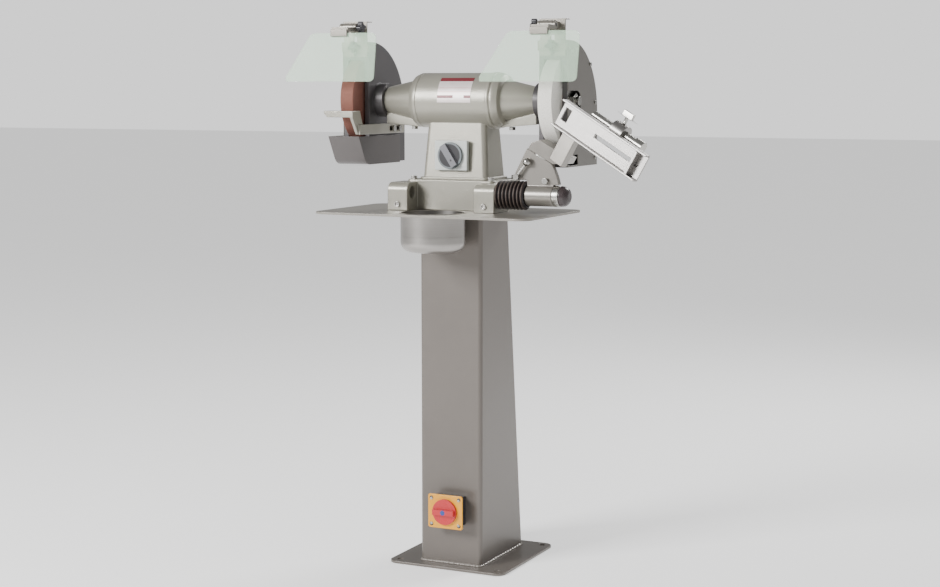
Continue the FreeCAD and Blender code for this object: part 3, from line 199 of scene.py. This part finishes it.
world = bpy.data.worlds.new("surround")
bpy.context.scene.world = world
world.use_nodes = True
tree = world.node_tree
tree.nodes.clear()
start = Signal(tree, tree.nodes.new("ShaderNodeLightPath").outputs["Is Camera Ray"])
glow = start.node("ShaderNodeBackground", {}, {"Color": (1.0, 1.0, 1.0, 1.0),
                                               "Strength": start * 0.92 + 0.34})
tree.links.new(glow.socket, tree.nodes.new("ShaderNodeOutputWorld").inputs["Surface"])

for name, where, aim, size, power in (
    ("key", (-2.0, -3.4, 2.4), (0, -0.1, 0.9), 1.5, 250),
    ("fill", (3.4, -1.6, 1.8), (0, -0.1, 0.8), 1.6, 4),
    ("rim", (1.0, 2.4, 2.6), (0, 0, 0.9), 1.2, 70),
):
    lamp = bpy.data.objects.new(name, bpy.data.lights.new(name, "AREA"))
    bpy.context.scene.collection.objects.link(lamp)
    lamp.location = where
    lamp.rotation_euler = (Vector(aim) - Vector(where)).to_track_quat("-Z", "Y").to_euler()
    lamp.data.size, lamp.data.energy = size, power

# ---------------------------------------------------------------------------------------
# Pedestal: a foot plate, a tapered square column folded from sheet and welded to the
# plate, a head plate and a service cover behind, all in one brownish grey enamel.
nodes = frame["nodes"]
body_of = {n: b for b, members in frame["record"]["behaviour"]["bodies"].items()
           for n in members}


def softened(name, width, look, steps=2, angle=30):
    """Stands for a CAD node: the same faces, joined where flat, with every edge sharper
    than the angle rounded off by the width."""
    mesh = bpy.data.meshes.new(name + "_worked")
    work = bmesh.new()
    work.from_mesh(nodes[name].data)
    bmesh.ops.remove_doubles(work, verts=work.verts, dist=2e-6)
    bmesh.ops.dissolve_limit(work, angle_limit=math.radians(0.5), verts=work.verts,
                             edges=work.edges)
    work.to_mesh(mesh)
    work.free()
    piece = bpy.data.objects.new(name + "_worked", mesh)
    bpy.context.scene.collection.objects.link(piece)
    bevel = piece.modifiers.new("edges", "BEVEL")
    bevel.width, bevel.segments, bevel.limit_method = width, steps, "ANGLE"
    bevel.angle_limit = math.radians(angle)
    bevel.use_clamp_overlap, bevel.harden_normals = False, False
    even = piece.modifiers.new("shading", "WEIGHTED_NORMAL")
    even.mode, even.weight, even.keep_sharp = "FACE_AREA", 50, True
    return dress(piece, look, body_of[name], sharp=0, stands_for=(name,))


def enamel(name, light, dark, gloss=0.36, peel=0.00012, metal=0.35, coat=0.15):
    """Baked enamel with a metal fleck: a slow cloud and a fine fleck vary the colour,
    and a fine noise gives the peel of sprayed paint."""
    def shade(place):
        cloud, fleck = place.noise(5.0, 3.0), place.noise(1400.0, 1.0)
        wear_and_sheen = place.noise(38.0, 4.0)
        return {"Base Color": (cloud * 0.45 + fleck * 0.35 + wear_and_sheen * 0.2).mixed(dark, light),
                "Metallic": metal,
                "Roughness": cloud * 0.10 + wear_and_sheen * 0.06 + (gloss - 0.08),
                "Coat Weight": coat, "Coat Roughness": 0.25,
                "Normal": (place.noise(420.0, 2.0) + wear_and_sheen * 0.8).bumped(peel)}
    return finish(name, shade)


pedestal = enamel("pedestal enamel", (0.175, 0.155, 0.138), (0.118, 0.103, 0.091), metal=0.25)
softened("base_plate", 0.0012, pedestal)
softened("column", 0.0005, pedestal)
softened("column_cap", 0.0008, pedestal)
softened("column_hatch", 0.0005, pedestal)


def bead(low, high, up, radius, corner):
    """A weld bead round a rounded rectangle: the path follows the rectangle, and the
    bead's radius swells with each ripple."""
    count = 1500
    middle, half = (low + high) / 2, (high - low) / 2
    legs = np.array([half[0] - corner, half[1] - corner]) * 2
    arc = math.pi / 2 * corner
    pieces = [legs[1], arc, legs[0], arc, legs[1], arc, legs[0], arc]
    along = np.linspace(0, sum(pieces), count, endpoint=False)
    edge = np.cumsum([0] + pieces)
    which = np.searchsorted(edge, along, side="right") - 1
    part = along - edge[which]
    centres = np.array([[1, -1], [1, 1], [1, 1], [-1, 1], [-1, 1], [-1, -1], [-1, -1],
                        [1, -1]]) * (half - corner)
    quarter = which // 2 * (math.pi / 2)
    angle = quarter + np.where(which % 2 == 1, part / corner, 0)
    outward = np.stack([np.cos(angle), np.sin(angle)], -1)
    forward = np.stack([-np.sin(quarter), np.cos(quarter)], -1)
    path = middle + centres[which] + outward * corner
    path += forward * np.where(which % 2 == 0, part, 0)[:, None]
    swell = radius * (1 + 0.14 * np.sin(along / 0.0021) + 0.10 * np.sin(along / 0.031)
                      + 0.08 * np.sin(along / 0.0103 + 2))
    around = np.linspace(0, 2 * math.pi, 10, endpoint=False)
    reach = swell[:, None] * np.cos(around)
    rise = swell[:, None] * np.sin(around)
    return np.concatenate([path[:, None] + outward[:, None] * reach[..., None],
                           (up + rise)[..., None]], -1)


column_front, foot_deep, column_half, column_bend = -0.1114, 0.2265, 0.075, 0.009
weld = skin("foot_weld", bead(np.array([-column_half, column_front]),
                              np.array([column_half, column_front + foot_deep]),
                              up=0.0070, radius=0.0028, corner=column_bend), wrap_rows=True)
dress(weld, enamel("weld enamel", (0.36, 0.33, 0.30), (0.22, 0.20, 0.18), gloss=0.30),
      "stand")

# ---------------------------------------------------------------------------------------
# Chip tray, a sheet with a rolled edge between column and casting, and the water pot of
# spun stainless steel that hangs by its rim in a hole in the tray.
tray_paint = enamel("tray enamel", (0.33, 0.31, 0.275), (0.22, 0.205, 0.18), gloss=0.33, metal=0.25)
softened("chip_tray", 0.0006, tray_paint)


def lathe(name, profile, centre, along, steps=96):
    """A turned shape: each point of the profile, (distance along, radius), goes round
    the axis through the centre."""
    along = Vector(along).normalized()
    side = along.orthogonal().normalized()
    up = along.cross(side)
    profile = np.array(profile, dtype=float)
    angle = np.linspace(0, 2 * math.pi, steps, endpoint=False)
    ring = np.cos(angle)[:, None] * np.array(side) + np.sin(angle)[:, None] * np.array(up)
    grid = (np.array(centre) + profile[:, 0, None, None] * np.array(along)
            + profile[:, 1, None, None] * ring)
    return skin(name, grid)


def arc(centre, radius, start, stop, count=8):
    """Profile points on a circle, from one angle to another, in degrees."""
    angle = np.radians(np.linspace(start, stop, count))
    return [(centre[0] + radius * math.sin(a), centre[1] + radius * math.cos(a))
            for a in angle]


pot_low, pot_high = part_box("water_pot")
pot_middle = ((pot_low.x + pot_high.x) / 2, (pot_low.y + pot_high.y) / 2, pot_low.z)
pot_high_up = pot_high.z - pot_low.z
pot_side, pot_wall = 0.0695, 0.0012
pot_rim = (pot_high.x - pot_low.x) / 2
shell = [(0.0, 0.0), (0.0, 0.030), (0.0004, 0.040)]
shell += arc((0.022, pot_side - 0.022), 0.022, 270, 360, 14)
shell += [(0.035, pot_side), (0.0352, pot_side - 0.0003), (0.0358, pot_side - 0.0003),
          (0.036, pot_side), (pot_high_up - 0.004, pot_side)]
shell += [(pot_high_up - 0.0022, pot_side + 0.0003), (pot_high_up - 0.0016, pot_rim - 0.0008),
          (pot_high_up - 0.0010, pot_rim), (pot_high_up - 0.0004, pot_rim - 0.0004),
          (pot_high_up, pot_rim - 0.0018), (pot_high_up, pot_side + 0.0004),
          (pot_high_up - 0.0012, pot_side - pot_wall)]
shell += [(0.022, pot_side - pot_wall)]
shell += arc((0.022, pot_side - 0.022), 0.022 - pot_wall, 360, 270, 14)
shell += [(pot_wall, 0.0)]


def drawn_steel(place):
    """Spun steel: fine rings round the upright axis, clouded."""
    ringed = place.noise(60.0, 3.0, stretch=(0.06, 0.06, 9.0))
    cloud = place.noise(14.0, 3.0)
    return {"Base Color": (cloud * 0.6 + ringed * 0.4).mixed((0.25, 0.235, 0.22),
                                                             (0.46, 0.44, 0.42)),
            "Metallic": 1.0, "Roughness": ringed * 0.14 + cloud * 0.10 + 0.20,
            "Normal": ringed.bumped(0.00008)}


dress(lathe("pot_shell", shell, pot_middle, (0, 0, 1), 128), finish("drawn steel", drawn_steel),
      "pot", sharp=50, stands_for=("water_pot",))

# ---------------------------------------------------------------------------------------
# Base casting with a clamp boss at each front corner and a tapered neck under the motor:
# cast iron, rounded all over and sprayed light grey, with socket screws in the bosses.
casting = enamel("casting enamel", (0.40, 0.385, 0.325), (0.27, 0.255, 0.215),
                 gloss=0.33, peel=0.00035, metal=0.35, coat=0.2)
softened("base_casting", 0.0022, casting, steps=3)


def bright(name, light=(0.52, 0.51, 0.48), dark=(0.34, 0.33, 0.31), rough=0.22,
           grain=(1, 1, 1), depth=0.00004):
    """Bare or plated metal: a fine grain stretched along the work marks."""
    def shade(place):
        lay = place.noise(900.0, 2.0, stretch=grain)
        stain = place.noise(30.0, 3.0)
        return {"Base Color": (lay * 0.4 + stain * 0.6).mixed(dark, light), "Metallic": 1.0,
                "Roughness": lay * 0.12 + stain * 0.12 + (rough - 0.08),
                "Normal": lay.bumped(depth)}
    return finish(name, shade)


plated = bright("zinc plate")
softened("fixing_bolts", 0.0005, plated)
softened("cover_screws", 0.0004, plated)

# ---------------------------------------------------------------------------------------
# Motor: a cast barrel with a clamping band at its right end, two cast end bells that
# taper to the bearings, and inside them the stator, windings, rotor and ball bearings.
softened("motor_housing", 0.0012, casting)
softened("end_bell_left", 0.0015, casting, steps=3)
softened("end_bell_right", 0.0015, casting, steps=3)
band_at = 0.0835
band = [(band_at - 0.0040, 0.0590), (band_at - 0.0036, 0.0612), (band_at - 0.0026, 0.0618),
        (band_at + 0.0026, 0.0618), (band_at + 0.0036, 0.0612), (band_at + 0.0040, 0.0590),
        (band_at - 0.0040, 0.0590)]
dress(lathe("motor_band", band, (0, -0.047, 1.033), (1, 0, 0), 128), casting, "stand",
      sharp=40)
nodes["stator_core"].data.materials[0] = bright(
    "core steel", (0.30, 0.30, 0.31), (0.16, 0.16, 0.17), 0.5, (40, 1, 1), 0.0001)
nodes["rotor_core"].data.materials[0] = nodes["stator_core"].data.materials[0]
nodes["windings"].data.materials[0] = bright(
    "enamelled copper", (0.62, 0.28, 0.12), (0.34, 0.12, 0.05), 0.35, (1, 6, 6), 0.0003)
nodes["bearings"].data.materials[0] = bright("bearing steel", rough=0.15)
softened("rotor_shaft", 0.0006, bright("turned shaft", grain=(12, 1, 1)))

# Nameplate: a thin printed aluminium plate bent round the barrel. A dark red heading
# runs along its top and a dark strip with a pale field along its foot; it has no text.


def printed_plate(place):
    """Bands across the plate, each between two heights above the floor."""
    x, y, z = place.axes()
    head = z > 1.0745
    foot = (z < 1.0445) * (z > 1.0385)
    field = foot * (x > 0.004) * (x < 0.030)
    rule = (z > 1.0600) * (z < 1.0608) + (z > 1.0520) * (z < 1.0526)
    fade = place.noise(55.0, 3.0)
    paper = fade.mixed((0.70, 0.60, 0.585), (0.84, 0.77, 0.75))
    ink = rule.mixed(paper, (0.60, 0.30, 0.30))
    ink = foot.mixed(ink, (0.13, 0.05, 0.055))
    ink = field.mixed(ink, (0.72, 0.68, 0.66))
    return {"Base Color": head.mixed(ink, (0.22, 0.035, 0.045)),
            "Metallic": fade * 0.2 + 0.2, "Roughness": fade * 0.2 + 0.28,
            "Normal": (head + foot).bumped(0.00008)}


softened("nameplate", 0.0002, finish("printed plate", printed_plate))
# ---------------------------------------------------------------------------------------
# Motor switch on the front of the neck: a light moulded plate, a round black knob with a
# raised grey ring, and a grey grip bar across it that points up and to the left.


def moulded(name, light, dark, rough=0.35, depth=0.00006, grain=700.0):
    """Moulded plastic: a very fine spark-eroded texture and slightly uneven gloss."""
    def shade(place):
        cloud, fine = place.noise(24.0, 3.0), place.noise(grain, 2.0)
        return {"Base Color": (cloud * 0.7 + fine * 0.3).mixed(dark, light),
                "Roughness": cloud * 0.12 + fine * 0.08 + (rough - 0.08),
                "Normal": fine.bumped(depth)}
    return finish(name, shade)


softened("motor_switch", 0.0014, moulded("switch plate moulding", (0.66, 0.69, 0.66),
                                         (0.55, 0.58, 0.55)))
knob_black = moulded("black moulding", (0.030, 0.028, 0.034), (0.014, 0.013, 0.017), 0.32)


def gripped(place):
    """Bar, ring and recess of the knob, told apart by the distance from its centre and from
    the line through the bar, which leans by the given angle."""
    x, y, z = place.axes()
    across, up = x + 0.003, z - 0.914
    lean = math.radians(57)
    off_bar = abs(across * math.sin(lean) + up * math.cos(lean))
    along_bar = across * math.cos(lean) - up * math.sin(lean)
    out = place.maths("SQRT", across * across + up * up)
    bar = (off_bar < 0.0085) * (out < 0.0265)
    ring = out > 0.0250
    dot = (off_bar < 0.0018) * (abs(along_bar - 0.0120) < 0.0022)
    fine = place.noise(500.0, 2.0)
    grey = fine.mixed((0.15, 0.15, 0.165), (0.21, 0.21, 0.23))
    rim = fine.mixed((0.13, 0.15, 0.16), (0.19, 0.21, 0.22))
    colour = ring.mixed((0.012, 0.011, 0.014), rim)
    return {"Base Color": dot.mixed(bar.mixed(colour, grey), (0.03, 0.028, 0.03)),
            "Roughness": fine * 0.1 + 0.36, "Normal": fine.bumped(0.00006)}


softened("switch_dial", 0.0004, finish("knob moulding", gripped))

# ---------------------------------------------------------------------------------------
# Wheels: vitrified abrasive, a reddish brown one on the left and a creamy white one on
# the right, each between paper washers and turned flanges, with a nut on the shaft.


def abrasive(name, grit, bond, pore):
    """Bonded grains: two sizes of cell for the grains, darker pores between them, and a
    slow stain round the rim."""
    def shade(place):
        grains = place.node("ShaderNodeTexVoronoi", {}, {"Vector": place, "Scale": 950.0})
        coarse = place.noise(600.0, 3.0)
        stain = place.noise(16.0, 3.0)
        colour = (coarse * 0.6 + stain * 0.4).mixed(bond, grit)
        holes = (grains > 0.62) * 0.6
        return {"Base Color": holes.mixed(colour, pore), "Roughness": coarse * 0.15 + 0.8,
                "Normal": (coarse * 0.7 + grains * -0.6).bumped(0.0005)}
    return finish(name, shade)


softened("wheel_left", 0.0014, abrasive("brown abrasive", (0.30, 0.125, 0.090),
                                         (0.19, 0.072, 0.052), (0.12, 0.05, 0.04)))
softened("wheel_right", 0.0014, abrasive("white abrasive", (0.97, 0.95, 0.90),
                                          (0.86, 0.83, 0.76), (0.62, 0.58, 0.50)))
softened("blotters", 0.0002, moulded("blotter paper", (0.78, 0.70, 0.62),
                                      (0.62, 0.50, 0.42), 0.8, 0.0001))
turned = bright("turned steel", grain=(12, 1, 1))
softened("wheel_flanges", 0.0008, turned)
softened("wheel_nuts", 0.0006, turned)

# ---------------------------------------------------------------------------------------
# Guards: a pressed shell round each wheel with a screwed outer cover, a spark scoop under
# the left mouth, and a strap on top that clamps the shield's slide.
guard_paint = enamel("guard enamel", (0.100, 0.093, 0.095), (0.062, 0.057, 0.059),
                     gloss=0.40, peel=0.0002)
cover_paint = enamel("cover enamel", (0.185, 0.172, 0.155), (0.125, 0.116, 0.104), gloss=0.36)
scoop_paint = enamel("scoop enamel", (0.125, 0.112, 0.108), (0.075, 0.067, 0.066), gloss=0.36)
for side in ("left", "right"):
    softened(f"guard_{side}", 0.0006, guard_paint)
    softened(f"guard_cover_{side}", 0.0007, cover_paint)
softened("spark_scoop", 0.0005, scoop_paint)

# ---------------------------------------------------------------------------------------
# Eye shields: a clear green sheet in a steel fork, hinged on an upright slide, with star
# knobs that clamp its tilt and height.
slide_paint = enamel("slide enamel", (0.30, 0.28, 0.24), (0.19, 0.175, 0.155), gloss=0.32,
                     metal=0.5)


def clear_sheet(place):
    """Clear plastic, tinted green and slightly hazed by wiping."""
    haze = place.noise(9.0, 3.0)
    return {"Base Color": haze.mixed((0.66, 0.90, 0.66), (0.78, 0.97, 0.78)),
            "Roughness": haze * 0.10 + 0.04, "Alpha": haze * 0.05 + 0.27,
            "Coat Weight": 0.4, "IOR": 1.45,
            "Normal": place.noise(60.0, 2.0).bumped(0.00003)}


clear_green = finish("clear green sheet", clear_sheet)
for side in ("left", "right"):
    softened(f"height_clamp_{side}", 0.0008, slide_paint)
    softened(f"shield_slide_{side}", 0.0006, slide_paint)
    softened(f"shield_fork_{side}", 0.0007, slide_paint)
    softened(f"shield_{side}", 0.0006, clear_green)
    softened(f"tilt_knob_{side}", 0.0012, knob_black)
    softened(f"height_knob_{side}", 0.0012, knob_black)

# ---------------------------------------------------------------------------------------
# Tool rest at the left wheel: a cast table on a flat arm, both in the casting's enamel.
softened("tool_rest", 0.0014, casting, steps=3)

# ---------------------------------------------------------------------------------------
# Drill attachment: a round bar in the right boss with a rubber bellows, a collar, a
# swinging arm with a quadrant, and a trough on a swivel with its stop and feed screw.
softened("pivot_bar", 0.0010, turned)
softened("bar_collar", 0.0010, plated)
bar_line = (0, -0.137, 0.834)


def pleated(place):
    """Black rubber with a painted bronze highlight on the crests, which lie furthest from the bar's
    line.
    """
    away = place.node("ShaderNodeVectorMath", {"operation": "SUBTRACT"},
                      {0: place, 1: bar_line})
    flat = place.node("ShaderNodeVectorMath", {"operation": "MULTIPLY"},
                      {0: away, 1: (0, 1, 1)})
    out = place.node("ShaderNodeVectorMath", {"operation": "LENGTH"}, {0: flat}, 1)
    # Painted highlight: the crests are painted a bronze brown, broken up by a fine noise.
    crest = (out - 0.0275) * 260.0
    speckle = place.noise(240.0, 3.0)
    wear_and_sheen = place.node("ShaderNodeClamp", {}, {"Value": crest * speckle})
    return {"Base Color": wear_and_sheen.mixed((0.030, 0.024, 0.026), (0.22, 0.165, 0.135)),
            "Roughness": speckle * 0.15 + 0.34, "Normal": speckle.bumped(0.00008)}


bellows_low, bellows_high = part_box("bellows")
rings, start_x, stop_x = 8, bellows_low.x, bellows_high.x
t = np.linspace(0, 1, rings * 16 + 1)
wave = 0.5 - 0.5 * np.cos(2 * math.pi * rings * t)
crest_rad = (bellows_high.z - bellows_low.z) / 2
fold = np.stack([start_x + (stop_x - start_x) * t,
                 crest_rad - 0.0062 * (1 - wave ** 0.8)], -1)
bellows_wall, bar_clear = 0.0016, 0.0136
inner = fold[::-1] - [0, bellows_wall]
inner[:, 1] = np.maximum(inner[:, 1], bar_clear)
bellows = lathe("pleated_bellows", np.concatenate([fold, inner, fold[:1]]), bar_line,
                (1, 0, 0), 96)
bellows.data.materials.append(finish("black rubber", pleated))
bellows.data.shade_smooth()
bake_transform(bellows)
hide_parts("bellows")

cap_dark = moulded("cap moulding", (0.060, 0.045, 0.045), (0.026, 0.020, 0.022), 0.25)
softened("bar_cap", 0.0022, cap_dark, steps=4)
arm_paint = enamel("arm enamel", (0.32, 0.30, 0.27), (0.21, 0.195, 0.175), gloss=0.30,
                   metal=0.5)
softened("swing_arm", 0.0018, arm_paint, steps=3)
softened("arm_fixings", 0.0005, plated)
softened("ball_lever", 0.0004, plated)
softened("swivel_carrier", 0.0012, arm_paint)
milled = bright("milled trough", (0.40, 0.385, 0.37), (0.25, 0.24, 0.23), 0.32,
                (0.3, 4, 4), 0.00006)
softened("drill_trough", 0.0008, milled)
softened("end_stop", 0.0006, milled)
softened("feed_spindle", 0.0005, turned)
softened("feed_knob", 0.0006, plated)
softened("clamp_ring", 0.0010, milled)
softened("wing_screw", 0.0008, plated)

# ---------------------------------------------------------------------------------------
# Main switch low on the column: a black body, a yellow moulded plate held by four dark
# screws, and a red knob with a blue centre.
softened("main_switch_box", 0.0010, knob_black)
softened("main_switch_plate", 0.0012, moulded("yellow moulding", (0.85, 0.40, 0.012),
                                               (0.74, 0.31, 0.008), 0.28))
red = moulded("red moulding", (0.60, 0.030, 0.035), (0.44, 0.018, 0.025), 0.26)
nodes["main_switch_dial"].data.materials[0] = red
plate_front, knob_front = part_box("main_switch_plate")[0].y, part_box("main_switch_dial")[0].y
button = [(0.0, 0.0), (0.0, 0.0050), (0.0004, 0.0062), (0.0012, 0.0065), (0.0030, 0.0065),
          (0.0030, 0.0)]
dress(lathe("knob_centre", button, (0.003, knob_front - 0.0002, 0.131), (0, 1, 0), 48),
      moulded("blue moulding", (0.03, 0.08, 0.32), (0.02, 0.05, 0.22), 0.3), "main_dial")
screw = [(0.0, 0.0), (0.0, 0.0016), (0.0006, 0.0017), (0.0006, 0.0030), (0.0000, 0.0032),
         (0.0004, 0.0041), (0.0020, 0.0043), (0.0020, 0.0)]
for across in (-1, 1):
    for up in (-1, 1):
        dress(lathe(f"plate_screw_{across + 1}{up + 1}", screw,
                    (0.003 + across * 0.0335, plate_front - 0.0010, 0.131 + up * 0.0295),
                    (0, 1, 0), 24), knob_black, "stand")
